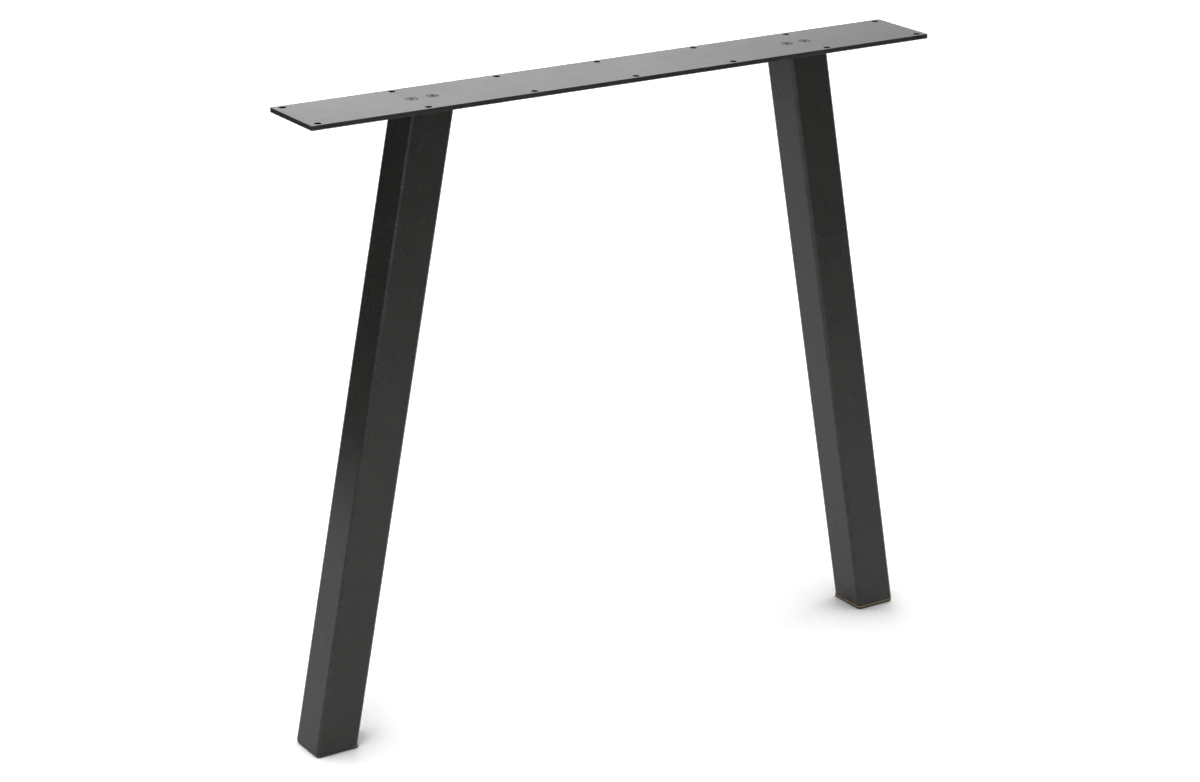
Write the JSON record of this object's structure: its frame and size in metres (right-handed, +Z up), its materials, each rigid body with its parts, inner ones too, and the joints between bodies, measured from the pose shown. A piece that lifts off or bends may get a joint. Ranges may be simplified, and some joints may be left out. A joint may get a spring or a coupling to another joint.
{
  "type": "trestle table leg",
  "caption": "Splayed frame leg of black square steel tube, with a long drilled plate that screws under a table top and moulded caps on its feet.",
  "frame": {"origin": "on the floor, midway between the feet", "axes": "+X along the mounting plate from the left leg to the right leg, +Y across the plate towards its back, +Z up"},
  "size_m": [0.7936, 0.09, 0.71],
  "materials": {
    "black_powder_coat": "satin black powder coat on steel, with a very fine texture",
    "blackened_screw_steel": "blackened steel",
    "foot_cap_plastic": "moulded dark plastic, with a tan bloom along the flange's rim"
  },
  "bodies": {
    "root": {"mounting_plate": "black_powder_coat", "left_leg_tube": "black_powder_coat", "right_leg_tube": "black_powder_coat", "left_head_plate": "black_powder_coat", "right_head_plate": "black_powder_coat", "plate_screws": "blackened_screw_steel", "left_foot_cap": "foot_cap_plastic", "right_foot_cap": "foot_cap_plastic"}
  },
  "joints": []
}
